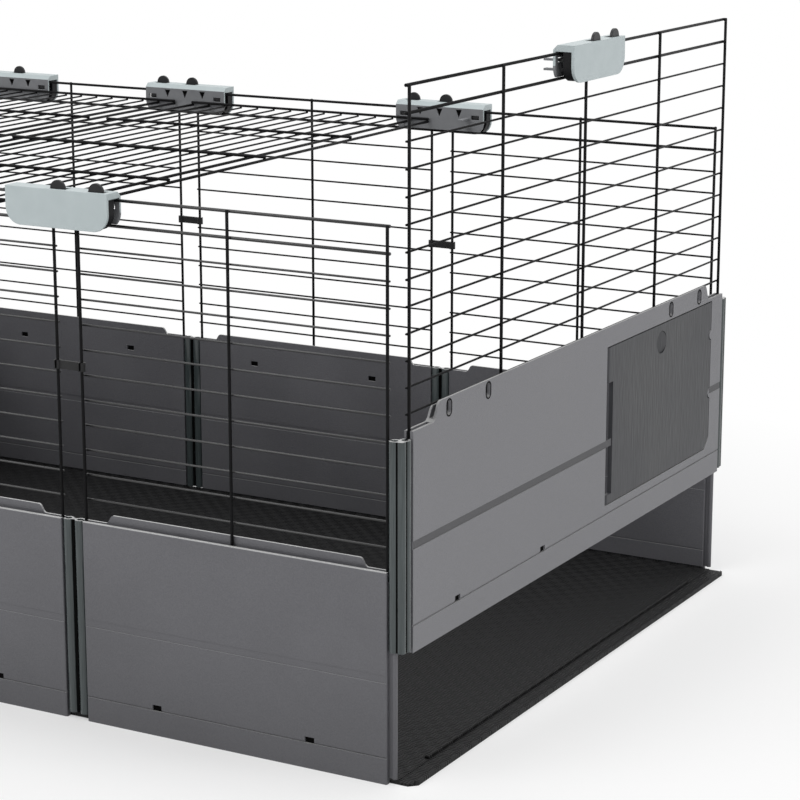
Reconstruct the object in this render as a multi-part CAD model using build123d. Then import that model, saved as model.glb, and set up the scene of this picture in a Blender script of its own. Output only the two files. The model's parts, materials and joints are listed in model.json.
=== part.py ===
from build123d import *
import math
import os

# Modular cage for a rabbit: three modules in a row on one floor mat.
# Plastic skirting panels carry welded wire panels, clips on top hold the roof grilles.
# The right end wall is drawn lifted in its corner strips, as it is raised for cleaning.
# Frame: millimetres, +Z up, X along the cage, front at -Y, origin on the ground in the middle.

# Layout of the walls, measured between the middle planes of opposite walls
module = 348.0
modules = 3
depth = 718.0
cage_height = 500.0
end_wall_lift = 118.0

# Plastic skirting panels
wall_height = 196.0
panel_outer = 5.0
panel_inner = 4.0
panel_end_gap = 12.0
lip_height = 8.0
lip_thickness = 2.2
lip_inset = 22.0
lip_run = 9.0
edge_round = 1.2
wire_groove_width = 3.8
wire_groove_depth = 10.0
lip_root = 4.0
base_line_height = 25.0
base_line_width = 1.6
base_line_depth = 1.0
band_width = 7.5
band_depth = 0.6
slot_length = 10.0
slot_width = 6.0
slot_depth = 2.2
slot_spacing = 165.0
slot_low_height = 27.0
slot_high_drop = 23.0
skirt_step = 5.4
skirt_inner = 0.4

# Edge beads and the strips that grip them
bead_radius = 2.5
bead_offset = 6.4
neck_thickness = 2.0
strip_clearance = 0.35
strip_wall = 2.35
strip_web = 4.0
strip_bottom = 5.4
corner_web_radius = 4.2

# Floor mat
mat_end_reach = 13.0
mat_side_gap = 1.0
mat_thickness = 3.0
mat_channel_floor = 2.4
mat_channel_width = 15.0
mat_lip_height = 4.5
mat_lip_width = 3.0
mat_ridge_height = 5.5
mat_ridge_width = 4.0
mat_ridge_round = 1.2
mat_ridge_gap = 1.0
mat_rim_short = 30.0
mat_ridge_short = 60.0
mat_corner = 7.0
wall_rest_gap = 0.3

# End walls and their hatches
end_corner_step = 4.0
end_body_rise = 12.0
end_lip_rise = 17.0
end_groove_step = 2.0
end_rise_inset = 36.0
end_rise_run = 14.0
hook_slot_width = 8.0
hook_slot_height = 14.0
hook_slot_rise = 7.5
hook_slot_inset = 65.0
hook_slot_pair = 75.0
end_slot_inset = 83.0
end_slot_pair = 173.0
hatch_edge_gap = 30.0
hatch_width = 266.0
hatch_bottom = 35.0
hatch_top_gap = 4.0
hatch_gap = 1.2
hatch_thickness = 4.5
hatch_corner = 12.0
hinge_column = 14.0
hinge_pin_radius = 1.8
hinge_knuckle_radius = 3.6
hinge_pin_length = 7.0
hinge_clearance = 0.35
hinge_side_gap = 1.2
hinge_upper_height = 36.0
hinge_lower_height = 9.0
ear_radius = 6.0
ear_drops = (36.0, 101.0)
scoop_radius = 12.0
scoop_drop = 19.0
scoop_tilt = 9.0

# Welded wire panels
upright_wire = 3.0
edge_wire = 3.0
mesh_wire = 2.0
mesh_pitch = 23.5
mesh_foot_gap = 0.5
wire_sides = 8
end_bays = 4

# Roof grilles
roof_drop = 12.5
roof_edge_gap = 11.0
roof_bars = 5
roof_mesh_rows = 15
roof_overhang = 1.5

# Ties that pair the uprights of neighbouring wire panels
tie_drop = 158.0
tie_height = 8.0
tie_wall = 1.7
tie_clearance = 0.25
tie_web = 2.6
tie_mouth = 2.2

# Top clips
clip_length = 113.0
clip_outer = 14.0
clip_skin = 3.0
clip_inner = 8.0
clip_inner_skin = 2.5
clip_rise = 6.5
clip_drop = 29.0
clip_inner_step = 5.0
clip_corner = 16.0
clip_bevel = 4.5
clip_seat_gap = 0.3
corner_clip_place = 88.0
prong_width = 6.0
prong_reach = 18.0
prong_thickness = 2.0
prong_clearance = 0.6
gusset_spacing = 25.0
gusset_width = 8.0
gusset_height = 9.0
gusset_depth = 1.3
gusset_drop = 2.0
core_outer_gap = 0.3
core_inner = 2.0
core_inset = 0.8
core_foot_gap = 1.0
latch_thickness = 3.0
latch_gap = 0.4
latch_travel = 5.6
latch_rise = 1.5
latch_top_gap = 0.2
latch_side_gap = 1.0
latch_foot_gap = 0.8
latch_end_gap = 4.5
tongue_end_gap = 10.5
tongue_width = 8.0
tongue_height = 3.0
tongue_inset = 1.2
tab_radius = 8.0
tab_gap = 0.7
tab_end_gap = 14.5

# How far cutters and joined shapes pass each other
overlap = 1.0

# Sizes that follow from the ones above
length = module * modules
half_length = length / 2
half_depth = depth / 2
panel_half = module / 2 - panel_end_gap
end_half = half_depth - panel_end_gap
socket_bore = bead_radius + strip_clearance
socket_outer = socket_bore + strip_wall
wire_half = panel_half
end_wire_half = end_half
foot_level = mat_channel_floor + wall_rest_gap
mesh_offset = (upright_wire + mesh_wire) / 2
edge_offset = (upright_wire + edge_wire) / 2
top_wire_level = cage_height - edge_wire / 2

# Levels of the plastic walls and of the wires above them
wall_thickness = panel_outer + panel_inner
groove_foot = wall_height - wire_groove_depth
band_height = wall_height / 2
slot_high_height = wall_height - slot_high_drop
end_corner_height = wall_height + end_corner_step
end_groove_floor = end_corner_height + end_groove_step
hook_slot_level = end_corner_height + hook_slot_rise
mesh_foot = foot_level + end_corner_height + end_body_rise + mesh_wire / 2 + mesh_foot_gap
mesh_rows = 1 + int((top_wire_level - mesh_foot) / mesh_pitch)
tie_level = cage_height - tie_drop

# Floor mat, hatch and hooks placed from the walls
mat_length = length + 2 * mat_end_reach
mat_width = depth - 2 * mat_side_gap
hatch_place = end_half - hatch_edge_gap - hatch_width / 2
hatch_left = hatch_place - hatch_width / 2
hatch_top = end_corner_height - hatch_top_gap
ear_levels = [hatch_top - drop for drop in ear_drops]
scoop_level = hatch_top - scoop_drop
hinge_x = hatch_left + hinge_knuckle_radius + hinge_side_gap
hinge_y = hinge_knuckle_radius - panel_outer
hook_slot_outer = end_half - hook_slot_inset
hook_slot_places = [sign * (hook_slot_outer - gap) for sign in (-1, 1) for gap in (0, hook_slot_pair)]
end_slot_places = [end_slot_inset - end_half + gap for gap in (0, end_slot_pair)]

# Roof grilles and the clips that carry them
roof_level = cage_height - roof_drop
roof_half = half_depth - roof_edge_gap
roof_pitch = (2 * wire_half - edge_wire) / (roof_mesh_rows - 1)
roof_under = roof_level - 1.5 * edge_wire
roof_over = roof_level + edge_wire / 2
clip_top = cage_height + clip_rise
clip_bottom = cage_height - clip_drop
clip_seat = cage_height + clip_seat_gap
clip_pocket = clip_skin - clip_outer
prong_place = panel_end_gap + edge_wire / 2 + roof_pitch
prong_level = roof_under - prong_clearance
upper_prong_level = roof_over + prong_clearance + prong_thickness
latch_low = roof_over + latch_rise
latch_high = cage_height - latch_top_gap
latch_reach = clip_length / 2 - latch_end_gap
tongue_place = clip_length / 2 - tongue_end_gap
tab_side_place = clip_length / 2 - tab_end_gap


def block(x0, x1, y0, y1, z0, z1):
    """Box between two corners."""
    size = (x1 - x0, y1 - y0, z1 - z0)
    centre = ((x0 + x1) / 2, (y0 + y1) / 2, (z0 + z1) / 2)
    return Pos(*centre) * Box(*size)


def upright_cylinder(radius, x, y, z0, z1):
    """Round post between two heights."""
    return Pos(x, y, (z0 + z1) / 2) * Cylinder(radius, z1 - z0)


def wire_x(diameter, x0, x1, y, z):
    """Straight wire along X, its flats square to the wires it is welded to."""
    face = RegularPolygon(diameter / 2, wire_sides, major_radius=False, rotation=180 / wire_sides)
    return extrude(Plane.YZ.offset(x0) * Pos(y, z) * face, x1 - x0)


def wire_y(diameter, x, y0, y1, z):
    """Straight wire along Y."""
    face = RegularPolygon(diameter / 2, wire_sides, major_radius=False, rotation=180 / wire_sides)
    return extrude(Plane.XZ.offset(-y1) * Pos(x, z) * face, y1 - y0)


def wire_z(diameter, x, y, z0, z1):
    """Upright wire."""
    face = RegularPolygon(diameter / 2, wire_sides, major_radius=False, rotation=180 / wire_sides)
    return extrude(Plane.XY.offset(z0) * Pos(x, y) * face, z1 - z0)


def on_wall(shape, side, along=0.0, up=0.0):
    """Puts a piece drawn for a front wall on the named side of the cage."""
    places = {
        "front": Pos(along, -half_depth, up),
        "back": Pos(along, half_depth, up) * Rot(0, 0, 180),
        "right": Pos(half_length, along, up) * Rot(0, 0, 90),
        "left": Pos(-half_length, along, up) * Rot(0, 0, -90),
    }
    return places[side] * shape


def through_wall(face):
    """Cutter that passes right through a plastic wall."""
    return extrude(Plane.XZ.offset(-wall_thickness) * face, 2 * wall_thickness)


def solids_of(shape):
    """All solids of a result, as one compound when there are several."""
    found = shape.solids()
    return found[0] if len(found) == 1 else Compound(children=list(found))


def raised_outline(half, inset, run, low, high, bottom):
    """Outline in XZ with a top that rises by an S-curve at each end."""
    rise = half - inset
    middle = rise - run / 2
    right = Bezier((rise, low), (middle, low), (middle, high), (rise - run, high))
    top = Line((rise - run, high), (-rise + run, high))
    left = Bezier((-rise + run, high), (-middle, high), (-middle, low), (-rise, low))
    shoulder_left = Line((-rise, low), (-half, low))
    down = Line((-half, low), (-half, bottom))
    base = Line((-half, bottom), (half, bottom))
    up = Line((half, bottom), (half, low))
    shoulder_right = Line((half, low), (rise, low))
    return make_face([right, top, left, shoulder_left, down, base, up, shoulder_right])


def add_edge_beads(body, half):
    """Neck and round bead down both ends of a skirting panel, up to the foot of its wire groove."""
    low = skirt_step
    high = groove_foot
    reach = panel_end_gap - bead_offset
    for side in (-1, 1):
        centre = side * (half + reach)
        inner = side * (half - overlap)
        x0, x1 = sorted((inner, centre))
        neck = block(x0, x1, -neck_thickness / 2, neck_thickness / 2, low, high)
        body += neck + upright_cylinder(bead_radius, centre, 0, low, high)
    return body


def cut_long_lines(body, half):
    """Base line and band that run along both faces of a skirting panel."""
    for face, sign in ((-panel_outer, 1), (panel_inner, -1)):
        for level, width, cut in (
            (base_line_height, base_line_width, base_line_depth),
            (band_height, band_width, band_depth),
        ):
            y0, y1 = sorted((face, face + sign * cut))
            body -= block(-half, half, y0, y1, level - width / 2, level + width / 2)
    return body


def slot_cutter(x, level, face):
    """Shallow rectangular slot that starts at a face of a plastic wall."""
    across = slot_length / 2
    tall = slot_width / 2
    return block(x - across, x + across, face, face + slot_depth, level - tall, level + tall)


def skirting_panel():
    """Low plastic panel of a long wall, one module long, outer face towards -Y."""
    body = block(-panel_half, panel_half, -panel_outer, panel_inner, 0, wall_height)
    ends = body.edges().filter_by(Axis.Z)
    top = body.edges().group_by(Axis.Z)[-1].filter_by(Axis.X)
    body = fillet(ends + top, edge_round)
    lip_top = wall_height + lip_height
    lip = raised_outline(panel_half, lip_inset, lip_run, wall_height, lip_top, wall_height - lip_root)
    body += extrude(Plane.XZ.offset(-panel_inner) * lip, lip_thickness)
    groove = wire_groove_width / 2
    body -= block(-panel_half, panel_half, -groove, groove, groove_foot, wall_height + overlap)
    body -= block(-panel_half, panel_half, skirt_inner, panel_inner, 0, skirt_step)
    body = cut_long_lines(body, panel_half)
    slots = ((slot_low_height, -panel_outer), (slot_high_height, panel_inner - slot_depth))
    for side in (-1, 1):
        for level, face in slots:
            body -= slot_cutter(side * slot_spacing / 2, level, face)
    return add_edge_beads(body, panel_half)


def wire_panel(half, bays, end_foot, inner_foot):
    """Welded wire panel: uprights outside, cross wires inside, the two top ones thick."""
    wires = []
    upright_reach = half - upright_wire / 2
    for i in range(bays + 1):
        x = -upright_reach + 2 * upright_reach * i / bays
        foot = end_foot if i in (0, bays) else inner_foot
        wires.append(wire_z(upright_wire, x, 0, foot, cage_height))
    for row in range(mesh_rows):
        z = top_wire_level - row * mesh_pitch
        thick = row < 2
        size = edge_wire if thick else mesh_wire
        offset = edge_offset if thick else mesh_offset
        wires.append(wire_x(size, -half, half, offset, z))
    return Compound(children=wires)


def roof_grille():
    """Welded roof grille, one module long: bars along X on top of mesh wires along Y."""
    wires = []
    for i in range(roof_bars):
        y = -roof_half + 2 * roof_half * i / (roof_bars - 1)
        wires.append(wire_x(edge_wire, -wire_half, wire_half, y, roof_level))
    for i in range(roof_mesh_rows):
        x = -wire_half + edge_wire / 2 + i * roof_pitch
        thick = i < 2 or i > roof_mesh_rows - 3
        size = edge_wire if thick else mesh_wire
        level = roof_level - (edge_wire + size) / 2
        wires.append(wire_y(size, x, -roof_half - roof_overhang, roof_half + roof_overhang, level))
    return Compound(children=wires)


def straight_strip():
    """Strip between two panels of one wall, with a gripping tube for each bead."""
    profile = Pos(-bead_offset, 0) * Circle(socket_outer) + Pos(bead_offset, 0) * Circle(socket_outer)
    profile += Rectangle(2 * bead_offset, strip_web)
    mouth = neck_thickness + 2 * strip_clearance
    for side in (-1, 1):
        profile -= Pos(side * bead_offset, 0) * Circle(socket_bore)
        profile -= Pos(side * (bead_offset + socket_outer / 2), 0) * Rectangle(socket_outer, mouth)
    return extrude(Plane.XY.offset(strip_bottom) * profile, wall_height - strip_bottom)


def corner_strip():
    """Corner strip for a front wall that ends at +X and an end wall that leaves towards +Y."""
    profile = Pos(-bead_offset, 0) * Circle(socket_outer) + Pos(0, bead_offset) * Circle(socket_outer)
    profile += Circle(corner_web_radius)
    mouth = neck_thickness + 2 * strip_clearance
    profile -= Pos(-bead_offset, 0) * Circle(socket_bore)
    profile -= Pos(0, bead_offset) * Circle(socket_bore)
    profile -= Pos(-bead_offset - socket_outer / 2, 0) * Rectangle(socket_outer, mouth)
    profile -= Pos(0, bead_offset + socket_outer / 2) * Rectangle(mouth, socket_outer)
    return extrude(Plane.XY.offset(strip_bottom) * profile, wall_height - strip_bottom)


def wire_tie():
    """Small clip that snaps over the two uprights at a joint between modules."""
    reach = panel_end_gap + upright_wire / 2
    bore = upright_wire / 2 / math.cos(math.pi / wire_sides) + tie_clearance
    outer = bore + tie_wall
    profile = Rectangle(2 * reach, tie_web)
    for side in (-1, 1):
        profile += Pos(side * reach, 0) * Circle(outer)
    for side in (-1, 1):
        profile -= Pos(side * reach, 0) * Circle(bore)
        profile -= Pos(side * reach, -outer / 2) * Rectangle(tie_mouth, outer)
    return extrude(Plane.XY.offset(tie_level - tie_height / 2) * profile, tie_height)


def hatch_outline(grow):
    """Outline of the hatch leaf in XZ, with its two notches, grown by a clearance."""
    x0 = hatch_left + hinge_column - grow
    x1 = hatch_left + hatch_width + grow
    z0 = hatch_bottom - grow
    z1 = hatch_top + grow
    cut = hatch_corner
    face = make_face(Polyline((x0, z0), (x1 - cut, z0), (x1, z0 + cut), (x1, z1), (x0, z1), close=True))
    for level in ear_levels:
        face -= Pos(x1, level) * Circle(ear_radius - grow)
    return face


def end_wall():
    """Plastic end wall, outer face towards -Y, with the doorway and the hinge pins of the hatch."""
    top = end_corner_height + end_lip_rise
    rise = (end_half, end_rise_inset, end_rise_run, end_corner_height)
    outline = raised_outline(*rise, end_corner_height + end_body_rise, 0)
    skin_start = panel_outer - lip_thickness
    body = extrude(Plane.XZ.offset(-panel_inner) * outline, skin_start + panel_inner)
    body += extrude(Plane.XZ.offset(skin_start) * raised_outline(*rise, top, 0), lip_thickness)
    groove = wire_groove_width / 2
    inset = end_rise_inset
    body -= block(-end_half, end_half, -groove, groove, end_groove_floor, top + overlap)
    for side in (-1, 1):
        x0, x1 = sorted((side * end_half, side * (end_half - inset)))
        body -= block(x0, x1, -groove, groove, groove_foot, top + overlap)
    body = cut_long_lines(body, end_half)
    for x in hook_slot_places:
        stadium = SlotOverall(hook_slot_height, hook_slot_width, rotation=90)
        body -= through_wall(Pos(x, hook_slot_level) * stadium)
    for x in end_slot_places:
        body -= slot_cutter(x, slot_low_height, -panel_outer)
    opening = Rectangle(hinge_column + 2 * hatch_gap, hatch_top - hatch_bottom + 2 * hatch_gap)
    column = Pos(hatch_left + hinge_column / 2, (hatch_bottom + hatch_top) / 2) * opening
    body -= through_wall(hatch_outline(hatch_gap) + column)
    root = hatch_gap + overlap
    for z0, z1 in (
        (hatch_bottom - root, hatch_bottom + hinge_pin_length),
        (hatch_top - hinge_pin_length, hatch_top + root),
    ):
        body += upright_cylinder(hinge_pin_radius, hinge_x, hinge_y, z0, z1)
    return add_edge_beads(body, end_half)


def hatch():
    """Hatch leaf with two knuckles on its hinge side and a thumb scoop."""
    leaf = extrude(Plane.XZ.offset(panel_outer - hatch_thickness) * hatch_outline(0), hatch_thickness)
    edge = hatch_left + hinge_column
    lower = (hatch_bottom, hatch_bottom + hinge_lower_height)
    upper = (hatch_top - hinge_upper_height, hatch_top)
    for z0, z1 in (lower, upper):
        knuckle = upright_cylinder(hinge_knuckle_radius, hinge_x, hinge_y, z0, z1)
        arm = block(hinge_x, edge + overlap, -panel_outer, -panel_outer + hatch_thickness, z0, z1)
        leaf += knuckle + arm
    bore = hinge_pin_radius + hinge_clearance
    low_end = hatch_bottom + hinge_pin_length + hinge_clearance
    high_start = hatch_top - hinge_pin_length - hinge_clearance
    leaf -= upright_cylinder(bore, hinge_x, hinge_y, hatch_bottom - overlap, low_end)
    leaf -= upright_cylinder(bore, hinge_x, hinge_y, high_start, hatch_top + overlap)
    scoop = Pos(hatch_place, -panel_outer, scoop_level) * Rot(0, 0, -scoop_tilt) * Rot(90, 0, 0)
    leaf -= scoop * Cylinder(scoop_radius, 2 * scoop_radius * math.tan(math.radians(scoop_tilt)))
    return leaf


def clip_outline(inset, low, high):
    """Face of a clip in XZ: square above, well rounded at both lower corners."""
    half = clip_length / 2 - inset
    face = Pos(0, (low + high) / 2) * Rectangle(2 * half, high - low)
    corners = face.vertices().group_by(Axis.Y)[0]
    return fillet(corners, clip_corner - inset)


def clip_shell(upper_prongs):
    """Light clip that hooks over the top wires; prongs inside carry the roof grilles."""
    inner = clip_inner - clip_inner_skin
    low_inner = clip_bottom + clip_inner_step
    section = make_face(
        Polyline(
            (-clip_outer, clip_bottom), (-clip_outer, clip_top), (clip_inner - clip_bevel, clip_top),
            (clip_inner, clip_top - clip_bevel), (clip_inner, low_inner), (inner, low_inner),
            (inner, clip_seat), (clip_pocket, clip_seat), (clip_pocket, clip_bottom),
            close=True,
        )
    )
    body = extrude(Plane.YZ.offset(-clip_length / 2) * section, clip_length)
    face = clip_outline(0, clip_bottom, clip_top)
    body &= extrude(Plane.XZ.offset(-clip_inner) * face, clip_outer + clip_inner)
    top = clip_top - clip_bevel - gusset_drop
    half = gusset_width / 2
    recess = make_face(Polyline((-half, top), (half, top), (0, top - gusset_height), close=True))
    for i in (-1, 0, 1):
        body -= extrude(Plane.XZ.offset(-clip_inner) * Pos(i * gusset_spacing, 0) * recess, gusset_depth)
    slot_end = clip_pocket + latch_gap + latch_thickness + latch_travel + latch_gap
    half = tab_radius + tab_gap
    for x in (0, tab_side_place):
        body -= block(x - half, x + half, clip_pocket, slot_end, clip_seat - overlap, clip_top + overlap)
    for side in (-1, 1):
        x = side * tongue_place
        half = tongue_width / 2 + latch_side_gap
        low = latch_low - latch_foot_gap
        high = latch_low + tongue_height + latch_foot_gap
        body -= block(x - half, x + half, inner - overlap, clip_inner + overlap, low, high)
        x = side * prong_place
        half = prong_width / 2
        tip = clip_inner + prong_reach
        levels = [prong_level]
        if side in upper_prongs:
            levels.append(upper_prong_level)
        for level in levels:
            body += block(x - half, x + half, inner, tip, level - prong_thickness, level)
    return body


def clip_core():
    """Dark block inside a clip, between the wires and the outer face."""
    y0 = clip_pocket + core_outer_gap
    face = clip_outline(core_inset, clip_bottom + core_foot_gap, cage_height)
    body = extrude(Plane.XZ.offset(core_inner) * face, -y0 - core_inner)
    room = latch_reach + latch_side_gap
    return body - block(-room, room, y0 - overlap, 0, latch_low - latch_foot_gap, cage_height + overlap)


def clip_latch():
    """Dark sliding latch: a bar with two thumb tabs on top and two tongues towards the roof."""
    y0 = clip_pocket + latch_gap
    y1 = y0 + latch_thickness
    body = block(-latch_reach, latch_reach, y0, y1, latch_low, latch_high)
    for x in (0, tab_side_place):
        tab = Pos(x, clip_top) * Circle(tab_radius)
        root = latch_high - latch_thickness
        stem = Pos(x, (root + clip_top) / 2) * Rectangle(2 * tab_radius, clip_top - root)
        upper = tab & (Pos(x, clip_top + tab_radius) * Rectangle(2 * tab_radius, 2 * tab_radius))
        body += extrude(Plane.XZ.offset(-y1) * (upper + stem), latch_thickness)
    tip = clip_inner - tongue_inset
    high = latch_low + tongue_height
    for side in (-1, 1):
        x = side * tongue_place
        body += block(x - tongue_width / 2, x + tongue_width / 2, y0, tip, latch_low, high)
    return body


def floor_mat():
    """Floor mat with a channel for each end wall and a rail inside it."""
    half_x = mat_length / 2
    half_y = mat_width / 2
    body = block(-half_x, half_x, -half_y, half_y, 0, mat_thickness)
    rim = mat_lip_width
    for side in (-1, 1):
        x0, x1 = sorted((side * (half_x - rim), side * half_x))
        body += block(x0, x1, -half_y, half_y, 0, mat_lip_height)
        x0, x1 = sorted((side * (half_x - rim), side * (half_x - rim - mat_channel_width)))
        body -= block(x0, x1, -half_y, half_y, mat_channel_floor, mat_lip_height)
        x1 = side * (half_x - rim - mat_channel_width - mat_ridge_gap)
        x0, x1 = sorted((x1, x1 - side * mat_ridge_width))
        rail_y = half_y - mat_ridge_short
        rail = block(x0, x1, -rail_y, rail_y, mat_thickness - overlap, mat_ridge_height)
        body += fillet(rail.edges().group_by(Axis.Z)[-1], mat_ridge_round)
        y0, y1 = sorted((side * (half_y - rim), side * half_y))
        rim_x = half_x - mat_rim_short
        body += block(-rim_x, rim_x, y0, y1, 0, mat_lip_height)
    plan = chamfer(Rectangle(mat_length, mat_width).vertices(), mat_corner)
    return body & extrude(plan, mat_ridge_height)


def build_cage():
    """All pieces by name, in place."""
    pieces = {"floor_mat": floor_mat()}
    names = ("left", "middle", "right")
    panel = skirting_panel()
    foot = groove_foot + wall_rest_gap
    mesh = wire_panel(wire_half, 2, foot, foot)
    strip = straight_strip()
    tie = wire_tie()
    for side in ("front", "back"):
        for i, name in enumerate(names):
            along = (i - (modules - 1) / 2) * module
            pieces[f"{side}_skirting_{name}"] = on_wall(panel, side, along)
            pieces[f"{side}_wire_panel_{name}"] = on_wall(mesh, side, along)
        for i, name in enumerate(("left", "right")):
            along = (i - 0.5) * module
            pieces[f"{side}_joint_strip_{name}"] = on_wall(strip, side, along)
            pieces[f"{side}_wire_tie_{name}"] = on_wall(tie, side, along)
    wall = end_wall()
    leaf = hatch()
    inner_foot = end_groove_floor + wall_rest_gap + foot_level
    end_mesh = wire_panel(end_wire_half, end_bays, foot + foot_level, inner_foot)
    for side, lift in (("right", end_wall_lift), ("left", 0.0)):
        up = foot_level + lift
        pieces[f"{side}_end_wall"] = on_wall(wall, side, 0, up)
        pieces[f"{side}_hatch"] = on_wall(leaf, side, 0, up)
        pieces[f"{side}_end_wire_panel"] = on_wall(end_mesh, side, 0, lift)
    corner = corner_strip()
    lift = Pos(0, 0, end_wall_lift)
    pieces["corner_strip_front_right"] = lift * Pos(half_length, -half_depth, 0) * corner
    pieces["corner_strip_back_right"] = lift * Pos(half_length, half_depth, 0) * Rot(0, 0, 90) * corner
    pieces["corner_strip_back_left"] = Pos(-half_length, half_depth, 0) * Rot(0, 0, 180) * corner
    pieces["corner_strip_front_left"] = Pos(-half_length, -half_depth, 0) * Rot(0, 0, 270) * corner
    grille = roof_grille()
    for i, name in enumerate(("left", "middle")):
        pieces[f"roof_grille_{name}"] = Pos((i - (modules - 1) / 2) * module, 0, 0) * grille
    place_clips(pieces)
    return pieces


def place_clips(pieces):
    """Eight clips, each a light shell, a dark core and a dark sliding latch."""
    core = clip_core()
    latch = clip_latch()
    corner = half_length - corner_clip_place
    spots = (
        ("front_right", "front", module / 2, 0, (1,)),
        ("front_middle", "front", -module / 2, 0, ()),
        ("front_left", "front", -corner, 0, ()),
        ("back_right", "back", module / 2, 0, (-1,)),
        ("back_middle", "back", -module / 2, 0, ()),
        ("back_left", "back", -corner, 0, ()),
        ("left_end", "left", 0, 0, ()),
        ("right_end", "right", 0, end_wall_lift, (-1, 1)),
    )
    fixed_cores = []
    for name, side, along, up, upper in spots:
        pieces[f"clip_shell_{name}"] = on_wall(clip_shell(upper), side, along, up)
        pieces[f"clip_latch_{name}"] = on_wall(latch, side, along, up)
        placed = on_wall(core, side, along, up)
        if up:
            pieces[f"clip_core_{name}"] = placed
        else:
            fixed_cores.append(placed)
    pieces["clip_cores_fixed"] = Compound(children=fixed_cores)


os.makedirs("parts", exist_ok=True)
for name, piece in build_cage().items():
    export_step(solids_of(piece), f"parts/{name}.step")
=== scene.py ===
# %% [markdown]
# # A three-module rabbit cage
# The cage is a kit: low plastic skirting panels stand on a floor mat, welded wire panels
# stand in their top grooves, and light clips with dark latches hold roof grilles on top.
# One end wall is drawn lifted in its corner strips. The imported CAD model is the frame: the
# pieces, their wires and their boxes are read from it. Sizes that a box can't tell, such as
# the level of a slot in a wall, follow the CAD source. They are named in the cell
# that uses them, and a change in the CAD has to be made there too.

# %% Load the frame
import json
import math

import bmesh
import bpy
from mathutils import Matrix, Vector


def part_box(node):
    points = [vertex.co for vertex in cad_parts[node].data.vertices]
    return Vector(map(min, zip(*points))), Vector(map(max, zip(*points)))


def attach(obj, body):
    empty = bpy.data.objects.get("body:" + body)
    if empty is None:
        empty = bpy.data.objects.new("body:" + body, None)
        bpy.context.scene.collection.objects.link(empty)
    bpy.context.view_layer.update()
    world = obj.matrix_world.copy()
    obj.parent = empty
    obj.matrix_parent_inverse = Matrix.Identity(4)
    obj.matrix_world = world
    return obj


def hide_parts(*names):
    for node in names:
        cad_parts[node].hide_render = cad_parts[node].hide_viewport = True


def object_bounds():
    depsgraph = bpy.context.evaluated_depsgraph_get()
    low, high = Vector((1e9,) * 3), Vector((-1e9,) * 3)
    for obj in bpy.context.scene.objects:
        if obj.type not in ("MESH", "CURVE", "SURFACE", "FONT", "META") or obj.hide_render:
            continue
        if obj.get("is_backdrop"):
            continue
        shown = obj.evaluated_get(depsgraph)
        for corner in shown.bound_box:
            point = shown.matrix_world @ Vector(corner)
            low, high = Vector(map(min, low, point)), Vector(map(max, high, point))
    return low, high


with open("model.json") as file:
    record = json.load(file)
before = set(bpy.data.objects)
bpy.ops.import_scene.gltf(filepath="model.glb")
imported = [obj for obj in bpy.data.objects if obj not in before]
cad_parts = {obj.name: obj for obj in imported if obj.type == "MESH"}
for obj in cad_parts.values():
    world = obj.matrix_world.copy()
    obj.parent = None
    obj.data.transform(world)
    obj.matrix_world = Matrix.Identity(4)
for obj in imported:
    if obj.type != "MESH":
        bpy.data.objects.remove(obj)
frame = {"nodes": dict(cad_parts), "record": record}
nodes = frame["nodes"]
cad_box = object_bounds()
body_of_node = {
    node: body for body, names in frame["record"]["behaviour"]["bodies"].items() for node in names
}
print(len(nodes), "CAD nodes from", tuple(cad_box[0]), "to", tuple(cad_box[1]))

# %% [markdown]
# ## Planes and levels of the cage
# The long walls run along X and the end walls along Y. The middle planes of both are where
# the wires stand. The two end walls are taken as the same part at two levels, so marks on
# them are placed from the base of each.

# %% Name the planes and levels
MODULE = 0.348  # from one module to the next
LONG_PLANE = 0.359  # middle plane of the long walls, from the middle of the cage
END_PLANE = 0.522  # middle plane of the end walls
END_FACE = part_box("right_end_wall")[1].x
LEFT_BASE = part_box("left_end_wall")[0].z
RIGHT_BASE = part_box("right_end_wall")[0].z
print("end walls stand at", round(LEFT_BASE, 4), "and", round(RIGHT_BASE, 4))

# %% [markdown]
# ## Camera
# A camera was matched to the wire grid of the photograph. A camera looks along its own -Z,
# so the matched right and up directions and the reverse of the view direction are the
# columns of its rotation, and no aim point and no roll have to be worked out.

# %% Place the camera
RIGHT = Vector((0.87250, 0.48862, 0.0))
UP = Vector((-0.11531, 0.20590, 0.97176))
VIEW = Vector((-0.47482, 0.84785, -0.23599))
STAND = Vector((1.550, -2.197, 0.862))
SENSOR_MM = 36.0
LENS_MM = 114.68


def matched_camera():
    """Camera at the matched place, with the matched directions and lens."""
    data = bpy.data.cameras.new("matched camera")
    data.sensor_width = SENSOR_MM
    data.lens = LENS_MM
    data.clip_end = 50.0
    camera = bpy.data.objects.new("matched camera", data)
    turn = Matrix((RIGHT, UP, -VIEW)).transposed()
    camera.matrix_world = Matrix.Translation(STAND) @ turn.to_4x4()
    bpy.context.scene.collection.objects.link(camera)
    bpy.context.scene.camera = camera
    return camera


camera = matched_camera()
print("camera at", tuple(round(c, 3) for c in camera.matrix_world.translation))

# %% [markdown]
# ## Materials from nodes
# Every finish of the cage is a Principled shader with a little noise for colour and
# roughness, and a bump for its grain. The patterns read Object coordinates, in metres, so they stay
# on the piece when it moves. A small helper wires nodes, so each finish reads as a recipe.

# %% Node helpers


def add_node(tree, kind, inputs=None, **settings):
    """New node with its settings and its input values or links."""
    node = tree.nodes.new(kind)
    for name, value in settings.items():
        setattr(node, name, value)
    for key, value in (inputs or {}).items():
        socket = node.inputs[key]
        if isinstance(value, bpy.types.NodeSocket):
            tree.links.new(value, socket)
        else:
            socket.default_value = value
    return node


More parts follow.
